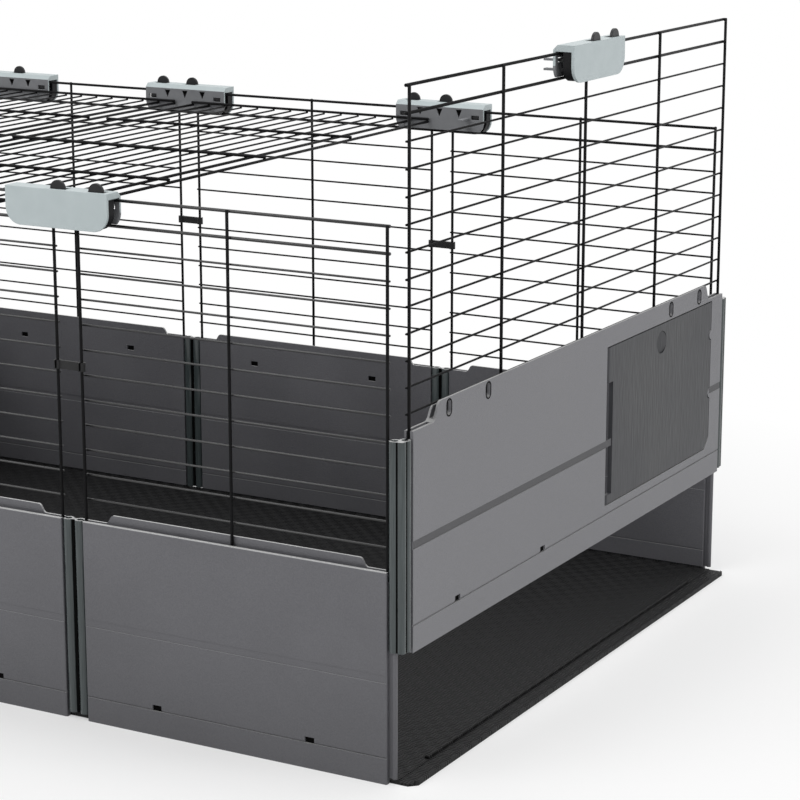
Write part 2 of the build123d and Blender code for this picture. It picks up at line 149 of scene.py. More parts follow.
def new_finish(name, colour, roughness, **constant):
    """Material with a Principled shader; constant values go on the shader's own sockets."""
    material = bpy.data.materials.new(name)
    material.use_nodes = True
    tree = material.node_tree
    shader = tree.nodes["Principled BSDF"]
    shader.inputs["Base Color"].default_value = (*colour, 1)
    shader.inputs["Roughness"].default_value = roughness
    for key, value in constant.items():
        shader.inputs[key.replace("_", " ")].default_value = value
    place = add_node(tree, "ShaderNodeTexCoord").outputs["Object"]
    return material, tree, shader, place


def set_specular(material, level):
    """Strength of a finish's reflections, where the common value is too shiny."""
    material.node_tree.nodes["Principled BSDF"].inputs["Specular IOR Level"].default_value = level


def noise(tree, place, scale, detail=3.0, stretch=(1, 1, 1)):
    """Noise at so many waves per metre, stretched along an axis where that is asked."""
    mapped = add_node(tree, "ShaderNodeMapping", {"Vector": place, "Scale": stretch})
    return add_node(
        tree, "ShaderNodeTexNoise", {"Vector": mapped.outputs[0], "Scale": scale, "Detail": detail}
    ).outputs["Fac"]


def ramp(tree, value, low, high, start=0.3, end=0.7):
    """Maps a noise value to a range, number to number."""
    return add_node(
        tree, "ShaderNodeMapRange",
        {"Value": value, "From Min": start, "From Max": end, "To Min": low, "To Max": high},
    ).outputs[0]


def tint(tree, value, dark, light):
    """Blends two colours by a value."""
    mix = add_node(tree, "ShaderNodeMix", data_type="RGBA")
    tree.links.new(value, mix.inputs[0])
    mix.inputs[6].default_value = (*dark, 1)
    mix.inputs[7].default_value = (*light, 1)
    return mix.outputs[2]


def add_bump(tree, shader, height, strength, distance, below=None):
    """Puts a bump on the shader, on top of an earlier one where it is given."""
    bump = add_node(
        tree, "ShaderNodeBump", {"Height": height, "Strength": strength, "Distance": distance}
    )
    if below is not None:
        tree.links.new(below, bump.inputs["Normal"])
    tree.links.new(bump.outputs[0], shader.inputs["Normal"])
    return bump.outputs[0]


print("node helpers ready")

# %% [markdown]
# ### Moulded grey plastic
# The skirting looks like an injection moulding with a fine, matt grain. Two noises make it: a
# broad, faint one for the flow of the plastic, and one near a millimetre for the grain,
# which breaks up the highlight. Two more inputs follow the photograph: "foot" paints shade
# on the skirting, darker towards the ground, and "rim" paints a highlight on the faces that
# look up, where the light from above draws a bright line along each edge.

# %% Skirting and hatch plastic


def moulded_plastic(name, dark, light, roughness, grain=900, stretch=(1, 1, 1), foot=1.0, rim=0.0):
    """Grained plastic; foot is how dark a painted shade falls near the ground, rim paints a
    highlight on upward edges.
    """
    material, tree, shader, place = new_finish(name, light, roughness)
    height = add_node(tree, "ShaderNodeSeparateXYZ", {0: place}).outputs["Z"]
    # Painted shade: the colour is scaled darker towards the ground, by the foot share.
    painted_foot_shade = ramp(tree, height, foot, 1.0, 0.0, 0.17)
    flow = noise(tree, place, 9, 2)
    fine = noise(tree, place, grain, 2, stretch)
    shade = add_node(tree, "ShaderNodeMath", {0: flow, 1: fine}, operation="ADD").outputs[0]
    colour = tint(tree, ramp(tree, shade, 0, 1, 0.7, 1.3), dark, light)
    if rim:
        facing = add_node(tree, "ShaderNodeNewGeometry").outputs["Normal"]
        upward = add_node(tree, "ShaderNodeSeparateXYZ", {0: facing}).outputs["Z"]
        bright = add_node(tree, "ShaderNodeMix", data_type="RGBA")
        tree.links.new(ramp(tree, upward, 0, 1, 0.35, 0.8), bright.inputs[0])
        tree.links.new(colour, bright.inputs[6])
        bright.inputs[7].default_value = (rim, rim, rim, 1)
        colour = bright.outputs[2]
    scaled = add_node(tree, "ShaderNodeVectorMath", {0: colour, "Scale": painted_foot_shade}, operation="SCALE")
    tree.links.new(scaled.outputs[0], shader.inputs["Base Color"])
    tree.links.new(
        ramp(tree, flow, roughness - 0.05, roughness + 0.06), shader.inputs["Roughness"]
    )
    add_bump(tree, shader, fine, 0.5, 0.0006)
    return material


skirting_plastic = moulded_plastic(
    "grained skirting plastic", (0.104, 0.104, 0.114), (0.136, 0.136, 0.148), 0.5,
    foot=0.72, rim=0.5,
)
wall_plastic = moulded_plastic(
    "grained end wall plastic", (0.156, 0.156, 0.167), (0.184, 0.184, 0.196), 0.5, rim=0.3
)
hatch_plastic = moulded_plastic(
    "brushed hatch plastic", (0.024, 0.025, 0.028), (0.048, 0.049, 0.054), 0.45, 420, (1, 1, 0.12)
)
set_specular(hatch_plastic, 0.35)
strip_plastic = moulded_plastic(
    "extruded strip plastic", (0.034, 0.044, 0.045), (0.066, 0.080, 0.082), 0.2,
    700, (1, 1, 0.05), rim=0.4,
)
band_shade = moulded_plastic(
    "shaded band plastic", (0.060, 0.060, 0.064), (0.078, 0.078, 0.083), 0.6
)
moulded = (skirting_plastic, wall_plastic, hatch_plastic, strip_plastic, band_shade)
print("plastic finishes:", [material.name for material in moulded])

# %% [markdown]
# ### Clips, latches, wires and ties
# The clips are a light satin plastic, so they get a low bump and a soft coat; the inner half
# of each clip gets a darker grey copy of it as painted shade. The latches are the same plastic
# in black. The wire is powder coated: nearly black, with a glossy skin whose orange peel is a
# faint, fine bump. The black parts differ mostly in how much they reflect, so each gets its
# own specular level. The wire coating comes as a lit and a shaded copy: a shinier one whose
# reflections paint highlights, and a darker, duller one that paints shade.

# %% Clip, latch and wire finishes


def satin_plastic(name, dark, light, roughness, coat):
    """Smooth moulding with a faint ripple and a thin gloss."""
    material, tree, shader, place = new_finish(
        name, light, roughness, Coat_Weight=coat, Coat_Roughness=0.3
    )
    flow = noise(tree, place, 60, 2)
    fine = noise(tree, place, 1500, 2)
    tree.links.new(tint(tree, ramp(tree, flow, 0, 1), dark, light), shader.inputs["Base Color"])
    tree.links.new(ramp(tree, fine, roughness - 0.04, roughness + 0.04), shader.inputs["Roughness"])
    add_bump(tree, shader, fine, 0.15, 0.0002)
    return material


def black_plastic(name, dark, light, roughness, coat, specular):
    """Satin finish that is dark enough for its reflections to need a level of their own."""
    material = satin_plastic(name, dark, light, roughness, coat)
    set_specular(material, specular)
    return material


clip_plastic = satin_plastic(
    "satin clip plastic", (0.44, 0.50, 0.51), (0.47, 0.53, 0.54), 0.45, 0.1
)
# Darker grey copy of the clip plastic, as painted shade on the inner half of each clip.
shaded_clip_plastic = satin_plastic(
    "shaded inner clip plastic", (0.17, 0.175, 0.185), (0.20, 0.205, 0.215), 0.5, 0.0
)
latch_plastic = black_plastic(
    "black latch plastic", (0.006, 0.006, 0.007), (0.012, 0.012, 0.013), 0.4, 0.1, 0.3
)
core_plastic = black_plastic(
    "black core plastic", (0.005, 0.005, 0.006), (0.009, 0.009, 0.010), 0.55, 0.0, 0.2
)
tie_plastic = black_plastic(
    "black tie plastic", (0.008, 0.008, 0.008), (0.015, 0.015, 0.016), 0.5, 0.0, 0.3
)
# Two copies of one powder coating: this shinier one paints highlights with its reflections, the
# darker, duller one after it paints shade.
lit_wire_coating = black_plastic(
    "lit powder coated wire", (0.003, 0.003, 0.003), (0.006, 0.006, 0.007), 0.3, 0.0, 0.6
)
shaded_wire_coating = black_plastic(
    "shaded powder coated wire", (0.002, 0.002, 0.002), (0.004, 0.004, 0.005), 0.5, 0.0, 0.12
)
# Flat black that paints shade: in slots, valleys and recesses, and round the hook slots.
painted_shade_black = black_plastic(
    "painted shade black", (0.002, 0.002, 0.002), (0.004, 0.004, 0.004), 0.7, 0.0, 0.02
)
print("wire finish:", lit_wire_coating.name)

# %% [markdown]
# ### Floor mat
# The mat is a black sheet embossed with a fine basket weave. A weave is two sets of bars at
# right angles that trade places like the squares of a chess board, so a checker picks
# between two wave textures. The result is a bump on black plastic, with a painted highlight
# that makes it a little lighter where the weave stands up.

# %% Woven mat finish


def woven_mat(name):
    """Black plastic with an embossed basket weave."""
    material, tree, shader, place = new_finish(
        name, (0.01, 0.01, 0.01), 0.6, Specular_IOR_Level=0.2
    )
    pitch = 100
    checker = add_node(tree, "ShaderNodeTexChecker", {"Vector": place, "Scale": pitch})
    bars = []
    for axis in ("X", "Y"):
        wave = add_node(
            tree, "ShaderNodeTexWave", {"Vector": place, "Scale": pitch * 0.95},
            bands_direction=axis,
        )
        bars.append(wave.outputs["Fac"])
    pick = add_node(tree, "ShaderNodeMix", {0: checker.outputs["Fac"], 2: bars[0], 3: bars[1]})
    fine = noise(tree, place, 700, 3)
    # Painted highlight: the raised weave is coloured lighter than its dips.
    weave_highlight = ramp(tree, pick.outputs[0], 0, 1, 0, 1)
    colour = tint(tree, weave_highlight, (0.002, 0.002, 0.002), (0.020, 0.020, 0.021))
    tree.links.new(colour, shader.inputs["Base Color"])
    tree.links.new(ramp(tree, fine, 0.48, 0.66), shader.inputs["Roughness"])
    woven = add_bump(tree, shader, pick.outputs[0], 0.9, 0.0015)
    add_bump(tree, shader, fine, 0.2, 0.0003, woven)
    return material


mat_weave = woven_mat("woven floor mat")
print("mat finish:", mat_weave.name)

# %% [markdown]
# ### Which piece gets which finish
# The names of the CAD nodes say what each piece is, so the finish is picked by a word in
# the name. What is left over at the end is wire.

# %% Give each CAD node its finish


def finish_for(name):
    """Finish of a CAD node, by what the node is."""
    if name == "floor_mat":
        return mat_weave
    if "skirting" in name:
        return skirting_plastic
    if name.endswith("end_wall"):
        return wall_plastic
    if "hatch" in name:
        return hatch_plastic
    if "strip" in name:
        return strip_plastic
    if "tie" in name:
        return tie_plastic
    if "shell" in name:
        return clip_plastic
    if "core" in name:
        return core_plastic
    if "latch" in name:
        return latch_plastic
    return lit_wire_coating


for name, piece in nodes.items():
    piece.data.materials.clear()
    piece.data.materials.append(finish_for(name))
print("finishes given to", len(nodes), "nodes")

# %% [markdown]
# ## Welded wire by Geometry Nodes
# A grille is rows of equal wires: same start, same step, same run. So one node tree makes
# one row, and a panel is a stack of modifiers, one for each row, that share the tree. The
# tree has four point wires with a small bevel at both ends, as cut wire has, and a round
# profile. The two inner points carry the full radius and the two outer ones a smaller one.

# %% The tree for one row of wires
CUT_RADIUS = 0.65  # radius at the cut end of a wire, as a share of its full radius


def socket(tree, name, kind, value=None):
    """Named input of a node tree."""
    made = tree.interface.new_socket(name, in_out="INPUT", socket_type=kind)
    if value is not None:
        made.default_value = value
    return made


def wire_row_tree():
    """Adds one row of equal wires to what came before it."""
    tree = bpy.data.node_groups.new("row of wires", "GeometryNodeTree")
    tree.interface.new_socket("Geometry", in_out="INPUT", socket_type="NodeSocketGeometry")
    tree.interface.new_socket("Geometry", in_out="OUTPUT", socket_type="NodeSocketGeometry")
    socket(tree, "Wires", "NodeSocketInt", 2)
    socket(tree, "First start", "NodeSocketVector")
    socket(tree, "Step", "NodeSocketVector")
    socket(tree, "Run", "NodeSocketVector")
    socket(tree, "Radius", "NodeSocketFloat", 0.001)
    socket(tree, "End bevel", "NodeSocketFloat", 0.0005)
    socket(tree, "Finish", "NodeSocketMaterial")
    given = add_node(tree, "NodeGroupInput").outputs
    length = add_node(
        tree, "ShaderNodeVectorMath", {0: given["Run"]}, operation="LENGTH"
    ).outputs["Value"]
    part = add_node(
        tree, "ShaderNodeMath", {0: given["End bevel"], 1: length}, operation="DIVIDE"
    ).outputs[0]
    line = add_node(tree, "GeometryNodeCurvePrimitiveLine", {"End": given["Run"]})
    four = add_node(tree, "GeometryNodeResampleCurve", {"Curve": line.outputs[0], "Count": 4})
    index = add_node(tree, "GeometryNodeInputIndex").outputs[0]
    at_end = add_node(
        tree, "ShaderNodeMath", {0: index, 1: 1.5}, operation="GREATER_THAN"
    ).outputs[0]
    inner = add_node(
        tree, "ShaderNodeMath", {0: index, 1: 1.5, 2: 1.0}, operation="COMPARE"
    ).outputs[0]
    inset = add_node(tree, "ShaderNodeMath", {0: inner, 1: part}, operation="MULTIPLY").outputs[0]
    sign = add_node(
        tree, "ShaderNodeMath", {0: at_end, 1: -2.0, 2: 1.0}, operation="MULTIPLY_ADD"
    ).outputs[0]
    share = add_node(
        tree, "ShaderNodeMath", {0: inset, 1: sign, 2: at_end}, operation="MULTIPLY_ADD"
    ).outputs[0]
    spot = add_node(
        tree, "ShaderNodeVectorMath", {0: given["Run"], "Scale": share}, operation="SCALE"
    ).outputs[0]
    placed = add_node(
        tree, "GeometryNodeSetPosition", {"Geometry": four.outputs[0], "Position": spot}
    )
    slim = add_node(
        tree, "ShaderNodeMath", {0: inner, 1: 1 - CUT_RADIUS, 2: CUT_RADIUS},
        operation="MULTIPLY_ADD",
    ).outputs[0]
    thin = add_node(
        tree, "GeometryNodeSetCurveRadius", {"Curve": placed.outputs[0], "Radius": slim}
    )
    ring = add_node(
        tree, "GeometryNodeCurvePrimitiveCircle", {"Resolution": 16, "Radius": given["Radius"]}
    )
    radius = add_node(tree, "GeometryNodeInputRadius").outputs[0]
    wire = add_node(
        tree, "GeometryNodeCurveToMesh",
        {
            "Curve": thin.outputs[0], "Profile Curve": ring.outputs[0],
            "Scale": radius, "Fill Caps": True,
        },
    )
    points = add_node(
        tree, "GeometryNodeMeshLine",
        {"Count": given["Wires"], "Start Location": given["First start"], "Offset": given["Step"]},
    )
    placed_wires = add_node(
        tree, "GeometryNodeInstanceOnPoints",
        {"Points": points.outputs[0], "Instance": wire.outputs[0]},
    )
    real = add_node(tree, "GeometryNodeRealizeInstances", {"Geometry": placed_wires.outputs[0]})
    coated = add_node(
        tree, "GeometryNodeSetMaterial", {"Geometry": real.outputs[0], "Material": given["Finish"]}
    )
    joined = add_node(tree, "GeometryNodeJoinGeometry", {"Geometry": given["Geometry"]})
    tree.links.new(coated.outputs[0], joined.inputs[0])
    result = add_node(tree, "NodeGroupOutput")
    tree.links.new(joined.outputs[0], result.inputs[0])
    return tree


wire_rows = wire_row_tree()
inputs = [item.name for item in wire_rows.interface.items_tree if item.in_out == "INPUT"]
print("tree inputs:", inputs)

# %% [markdown]
# Where two rows cross, the wires are welded, and a weld is a small flat bead. The beads of
# two rows form a grid, so the second tree puts a row of points on each point of a column
# and a bead on each point of the grid.

# %% The tree for weld spots


def weld_spot_tree():
    """Adds a grid of small flat beads, one for each crossing of two rows of wires."""
    tree = bpy.data.node_groups.new("grid of weld spots", "GeometryNodeTree")
    tree.interface.new_socket("Geometry", in_out="INPUT", socket_type="NodeSocketGeometry")
    tree.interface.new_socket("Geometry", in_out="OUTPUT", socket_type="NodeSocketGeometry")
    socket(tree, "Across", "NodeSocketInt", 2)
    socket(tree, "Down", "NodeSocketInt", 2)
    socket(tree, "First spot", "NodeSocketVector")
    socket(tree, "Step across", "NodeSocketVector")
    socket(tree, "Step down", "NodeSocketVector")
    socket(tree, "Bead size", "NodeSocketVector")
    socket(tree, "Finish", "NodeSocketMaterial")
    given = add_node(tree, "NodeGroupInput").outputs
    bead = add_node(tree, "GeometryNodeMeshIcoSphere", {"Radius": 1.0, "Subdivisions": 2})
    flat = add_node(
        tree, "GeometryNodeTransform", {"Geometry": bead.outputs[0], "Scale": given["Bead size"]}
    )
    row = add_node(
        tree, "GeometryNodeMeshLine", {"Count": given["Across"], "Offset": given["Step across"]}
    )
    column = add_node(
        tree, "GeometryNodeMeshLine",
        {
            "Count": given["Down"], "Start Location": given["First spot"],
            "Offset": given["Step down"],
        },
    )
    rows = add_node(
        tree, "GeometryNodeInstanceOnPoints",
        {"Points": column.outputs[0], "Instance": row.outputs[0]},
    )
    grid = add_node(tree, "GeometryNodeRealizeInstances", {"Geometry": rows.outputs[0]})
    beads = add_node(
        tree, "GeometryNodeInstanceOnPoints",
        {"Points": grid.outputs[0], "Instance": flat.outputs[0]},
    )
    real = add_node(tree, "GeometryNodeRealizeInstances", {"Geometry": beads.outputs[0]})
    coated = add_node(
        tree, "GeometryNodeSetMaterial", {"Geometry": real.outputs[0], "Material": given["Finish"]}
    )
    joined = add_node(tree, "GeometryNodeJoinGeometry", {"Geometry": given["Geometry"]})
    tree.links.new(coated.outputs[0], joined.inputs[0])
    result = add_node(tree, "NodeGroupOutput")
    tree.links.new(joined.outputs[0], result.inputs[0])
    return tree


weld_spots = weld_spot_tree()
print("weld tree nodes:", len(weld_spots.nodes))

# %% [markdown]
# ## Read each grille from its CAD node
# A CAD grille is octagonal wires in one mesh. Its loose parts are the wires, so the script
# splits them, sorts them by direction and thickness, and hands every row to the tree.

# %% Measure the wires of a CAD grille


def wires_of(node):
    """Lowest and highest corner of each wire of a CAD grille."""
    mesh = bmesh.new()
    mesh.from_mesh(nodes[node].data)
    bmesh.ops.remove_doubles(mesh, verts=mesh.verts, dist=1e-6)
    mesh.verts.ensure_lookup_table()
    seen = set()
    found = []
    for first in mesh.verts:
        if first in seen:
            continue
        island = [first]
        seen.add(first)
        for vert in island:
            for edge in vert.link_edges:
                other = edge.other_vert(vert)
                if other not in seen:
                    seen.add(other)
                    island.append(other)
        low = Vector([min(v.co[i] for v in island) for i in range(3)])
        high = Vector([max(v.co[i] for v in island) for i in range(3)])
        found.append((low, high))
    mesh.free()
    return found


def rows_of(node):
    """The wires of a grille in rows: same direction, thickness and length."""
    groups = {}
    for low, high in wires_of(node):
        size = high - low
        along = max(range(3), key=lambda i: size[i])
        across = [size[i] for i in range(3) if i != along]
        key = (along, round(min(across), 4), round(low[along], 3), round(high[along], 3))
        groups.setdefault(key, []).append((low, high))
    return groups


sample = rows_of("front_wire_panel_right")
print("rows of one wall panel:", {key: len(wires) for key, wires in sample.items()})

# %% [markdown]
# A row has one step, so a group whose spacing changes is first cut into even runs. The weld
# beads sit where two wires touch: between their axes, shared out by their radii. The level
# wires of the front wall, and their beads, keep the shinier, lit copy of the coating, whose
# reflections paint highlights where the photograph shows them; all other wires take the
# darker, duller copy as painted shade.

# %% Build a grille from its rows
CUT_BEVEL = 0.0006  # bevel on the cut end of a wire
UNEVEN = 2e-4  # a step that differs by more than this starts a new run
BEAD_SPREAD = 1.15  # how far a weld bead reaches beside the wires, in wire radii
BEAD_HALF = 0.0006  # half the thickness of a bead


def set_inputs(modifier, values):
    """Sets a modifier's inputs by name, through each socket's identifier."""
    for item in modifier.node_group.interface.items_tree:
        if item.item_type == "SOCKET" and item.name in values:
            modifier[item.identifier] = values[item.name]


def stacked(name, stack):
    """Plain mesh object made by a stack of node trees with their inputs."""
    start = bpy.data.objects.new(name + " rows", bpy.data.meshes.new(name + " rows"))
    bpy.context.scene.collection.objects.link(start)
    for tree, values in stack:
        modifier = start.modifiers.new(tree.name, "NODES")
        modifier.node_group = tree
        set_inputs(modifier, values)
    ready = start.evaluated_get(bpy.context.evaluated_depsgraph_get())
    mesh = bpy.data.meshes.new_from_object(ready)
    bpy.data.objects.remove(start)
    piece = bpy.data.objects.new(name, mesh)
    bpy.context.scene.collection.objects.link(piece)
    return piece


def row_inputs(key, wires):
    """Inputs of the wire tree for one row."""
    along = key[0]
    wires = sorted(wires, key=lambda wire: tuple(wire[0]))
    first, last = wires[0], wires[-1]
    centres = [(low + high) / 2 for low, high in (first, last)]
    run = Vector((0, 0, 0))
    run[along] = (first[1] - first[0])[along]
    step = (centres[1] - centres[0]) / max(len(wires) - 1, 1)
    # Upright wires take the shaded copy of the coating, level wires the lit copy with its painted
    # highlights.
    return {
        "Wires": len(wires), "First start": centres[0] - run / 2, "Step": step, "Run": run,
        "Radius": key[1] / 2, "End bevel": CUT_BEVEL,
        "Finish": shaded_wire_coating if along == 2 else lit_wire_coating,
    }


def even_rows(key, wires):
    """Splits a group into runs of evenly spaced wires, since a row has one step."""
    wires = sorted(wires, key=lambda wire: tuple(wire[0]))
    runs = [[wires[0]]]
    for wire in wires[1:]:
        run = runs[-1]
        step = wire[0] - run[-1][0]
        if len(run) > 1 and (step - (run[-1][0] - run[-2][0])).length > UNEVEN:
            runs.append([wire])
        else:
            run.append(wire)
    return [(key, run) for run in runs]


def weld_stack(first, second):
    """Weld beads where the wires of two directions touch, one stack entry for each group."""
    stack = []
    for one in first:
        for two in second:
            a, b = row_inputs(*one), row_inputs(*two)
            i, j = one[0][0], two[0][0]
            k = 3 - i - j
            spot = Vector((0, 0, 0))
            spot[i] = b["First start"][i]
            spot[j] = a["First start"][j]
            towards = b["First start"][k] - a["First start"][k]
            spot[k] = a["First start"][k] + towards * a["Radius"] / (a["Radius"] + b["Radius"])
            size = Vector((0, 0, 0))
            size[i], size[j] = BEAD_SPREAD * b["Radius"], BEAD_SPREAD * a["Radius"]
            size[k] = BEAD_HALF
            stack.append((weld_spots, {
                "Across": b["Wires"], "Down": a["Wires"], "First spot": spot,
                "Step across": b["Step"], "Step down": a["Step"], "Bead size": size,
                "Finish": lit_wire_coating,
            }))
    return stack


def grille(node, body):
    """Round welded grille that stands for an octagonal CAD grille."""
    rows = []
    for key, wires in rows_of(node).items():
        rows.extend(even_rows(key, wires))
    axes = sorted({key[0] for key, wires in rows})
    stack = [(wire_rows, row_inputs(*row)) for row in rows]
    first = [row for row in rows if row[0][0] == axes[0]]
    second = [row for row in rows if row[0][0] == axes[1]]
    stack += weld_stack(first, second)
    # Away from the front wall, every wire and bead takes the shaded copy of the coating, as painted
    # shade.
    if not node.startswith("front"):
        for _, values in stack:
            values["Finish"] = shaded_wire_coating
    piece = stacked("welded_" + node, stack)
    for face in piece.data.polygons:
        face.use_smooth = True
    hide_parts(node)
    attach(piece, body)
    return piece


wired = [name for name in sorted(nodes) if "wire_panel" in name or "grille" in name]
grilles = [grille(name, body_of_node[name]) for name in wired]
print(len(grilles), "grilles,", sum(len(g.data.polygons) for g in grilles), "faces")

# %% [markdown]
# ## Softened plastic
# Moulded plastic has no knife edges: a small round catches the light along every rim. The
# CAD mesh is loose triangles, so a copy is welded, its flat faces are joined again, and a
# narrow bevel is cut on its edges. The copy stands for the CAD node.

# %% Soften the plastic pieces
SAME_POINT = 2e-6  # corners closer than this are one corner
FLAT = math.radians(0.6)  # faces that meet flatter than this are one face
SHARP = math.radians(50)  # edges sharper than this get the bevel
BROAD_EDGE = 0.0006  # bevel of clip shells and hatches
FINE_EDGE = 0.0004  # bevel of latches and strips
INNER_REACH = 0.0052  # the painted shade on the inner half of a clip starts so far inside its wall's middle plane
LIGHT_TOP = 0.0046  # depth of the band along a clip's top that keeps its light colour, free of painted shade


def welded_copy(node):
    """Copy of a CAD mesh with its doubles merged and its flat faces joined."""
    mesh = bmesh.new()
    mesh.from_mesh(nodes[node].data)
    bmesh.ops.remove_doubles(mesh, verts=mesh.verts, dist=SAME_POINT)
    bmesh.ops.dissolve_limit(
        mesh, angle_limit=FLAT, verts=mesh.verts, edges=mesh.edges, use_dissolve_boundaries=False
    )
    return mesh


def softened(node, width, finish, change=None):
    """Bevelled copy that stands for a CAD node and rides where it rode."""
    mesh = welded_copy(node)
    if change:
        change(mesh)
    data = bpy.data.meshes.new("soft_" + node)
    mesh.to_mesh(data)
    mesh.free()
    piece = bpy.data.objects.new("soft_" + node, data)
    bpy.context.scene.collection.objects.link(piece)
    for material in finish:
        data.materials.append(material)
    bevel = piece.modifiers.new("soft edges", "BEVEL")
    bevel.width = width
    bevel.segments = 2
    bevel.limit_method = "ANGLE"
    bevel.angle_limit = SHARP
    bevel.use_clamp_overlap = True
    ready = piece.evaluated_get(bpy.context.evaluated_depsgraph_get())
    piece.modifiers.clear()
    piece.data = bpy.data.meshes.new_from_object(ready)
    # A bevel can overshoot at a tight corner, so the copy is held inside the CAD piece's box.
    low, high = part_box(node)
    for vert in piece.data.vertices:
        vert.co = [min(max(at, least), most) for at, least, most in zip(vert.co, low, high)]
    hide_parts(node)
    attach(piece, body_of_node[node])
    return piece


def inward_of(node):
    """Horizontal direction from a clip towards the inside of the cage, and its wall's distance."""
    low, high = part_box(node)
    middle = (low + high) / 2
    if high.x - low.x > high.y - low.y:
        return Vector((0, -math.copysign(1, middle.y), 0)), LONG_PLANE
    return Vector((-math.copysign(1, middle.x), 0, 0)), END_PLANE


def shell_shade_parts(node):
    """Marks the inner half of a clip, below its bevelled top, for the darker grey of painted shade.
    """
    inward, wall = inward_of(node)
    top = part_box(node)[1].z

    def mark(mesh):
        for face in mesh.faces:
            middle = face.calc_center_median()
            if middle.dot(inward) + wall > INNER_REACH and middle.z < top - LIGHT_TOP:
                # These faces take the second finish, the painted shade.
                face.material_index = 1

    return mark


soft = []
for name in sorted(nodes):
    if name.startswith("clip_shell"):
        # The second finish paints shade on the inner half of the clip.
        both = (clip_plastic, shaded_clip_plastic)
        soft.append(softened(name, BROAD_EDGE, both, shell_shade_parts(name)))
    elif name.startswith("clip_latch"):
        soft.append(softened(name, FINE_EDGE, (latch_plastic,)))
    elif name.endswith("hatch"):
        soft.append(softened(name, BROAD_EDGE, (hatch_plastic,)))
    elif "strip" in name:
        soft.append(softened(name, FINE_EDGE, (strip_plastic,)))
print(len(soft), "softened pieces,", sum(len(p.data.polygons) for p in soft), "faces")

# %% [markdown]
# ## Shadowed recesses
# The narrow slots and the ribbon along the end walls read as dark marks. A thin dark plate
# of painted shade on the floor of each recess gives that depth, and it lies below the surface
# of the wall.
# Plates, bars and rims are all made as one mesh each, so they share the helper that turns
# a finished mesh into a piece.

# %% Plates on the floors of slots and bands
SLOT_WIDE, SLOT_TALL = 0.0098, 0.0058
SLOT_ASIDE = 0.0825  # slots of a skirting panel, from its middle
LOW_SLOT, HIGH_SLOT = 0.027, 0.173  # levels of the slots, above the wall's base
END_SLOTS = (-0.264, -0.091)  # slots of an end wall, along it
BAND_LEVEL, BAND_TALL = 0.098, 0.0073
BAND_SPANS = ((-0.346, 0.063), (0.3185, 0.346))  # the band, cut out where the doorway is
# Front and back of a plate, outwards from the wall's middle plane.
BAND_DEPTHS = (0.0046, 0.0044)
OUTER_DEPTHS = (0.0032, 0.0028)
INNER_DEPTHS = (-0.0018, -0.0022)


def mark_piece(mesh, name, body, finish):
    """Turns a finished mesh into a piece with one finish, which rides a body."""
    data = bpy.data.meshes.new(name)
    mesh.to_mesh(data)
    mesh.free()
    data.materials.append(finish)
    piece = bpy.data.objects.new(name, data)
    bpy.context.scene.collection.objects.link(piece)
    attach(piece, body)
    return piece


def plates(name, body, boxes, finish):
    """One piece of thin closed boxes, each from its lowest to its highest corner."""
    mesh = bmesh.new()
    for low, high in boxes:
        size = high - low
        place = Matrix.Translation((low + high) / 2) @ Matrix.Diagonal((*size, 1))
        bmesh.ops.create_cube(mesh, size=1.0, matrix=place)
    return mark_piece(mesh, name, body, finish)


def recess_plate(wall, along, level, width, tall, depths):
    """Box in a recess of a wall, between two depths."""
    corners = []
    for share, reach in zip((-0.5, 0.5), sorted(depths)):
        a = along + share * width
        z = level + share * tall
        corners.append({
            "front": Vector((a, -LONG_PLANE - reach, z)),
            "back": Vector((-a, LONG_PLANE + reach, z)),
            "right": Vector((END_PLANE + reach, a, z)),
            "left": Vector((-END_PLANE - reach, -a, z)),
        }[wall])
    low = Vector(map(min, *corners))
    high = Vector(map(max, *corners))
    return low, high


def slot_plates(wall, places, level, depths):
    """Plates for slots of one size at one level of a wall."""
    return [recess_plate(wall, x, level, SLOT_WIDE, SLOT_TALL, depths) for x in places]


def band_plates(wall, base):
    """Plates for the two stretches of an end wall's band."""
    return [
        recess_plate(wall, (a + b) / 2, base + BAND_LEVEL, b - a, BAND_TALL, BAND_DEPTHS)
        for a, b in BAND_SPANS
    ]


slots = []
for wall in ("front", "back"):
    for centre in (-MODULE, 0.0, MODULE):
        places = (centre - SLOT_ASIDE, centre + SLOT_ASIDE)
        slots += slot_plates(wall, places, LOW_SLOT, OUTER_DEPTHS)
        slots += slot_plates(wall, places, HIGH_SLOT, INNER_DEPTHS)
slots += slot_plates("left", END_SLOTS, LEFT_BASE + LOW_SLOT, OUTER_DEPTHS)
right_slots = slot_plates("right", END_SLOTS, RIGHT_BASE + LOW_SLOT, OUTER_DEPTHS)
# Black plates of painted shade in the slots, and the darker band of painted shade along each end
# wall.
marks = [
    plates("slot_floor_shades_cage", "cage", slots, painted_shade_black),
    plates("slot_floor_shades_lift_wall", "lift_wall", right_slots, painted_shade_black),
    plates("band_left_wall", "cage", band_plates("left", LEFT_BASE), band_shade),
    plates(
        "band_lift_wall", "lift_wall", band_plates("right", RIGHT_BASE), band_shade
    ),
]
print(len(marks), "pieces of recess plates")

# %% [markdown]
# The strips are extruded tubes side by side. The valleys between the tubes are deep and lie
# in shade, so a narrow dark bar of painted shade lies in each of them.

# %% Dark valleys of the strips
BAR_SHORT = 0.0006  # a bar ends so far before its strip does
JOINT_BAR = (0.0014, 0.0007)  # half sizes of the bars, wide and deep
CORNER_BAR = (0.0010, 0.0006)
JOINT_VALLEY = 0.0026  # valleys of a joint strip, to either side of its middle
CORNER_IN, CORNER_OUT = 0.0025, 0.0035  # valleys of a corner strip, from the wall planes


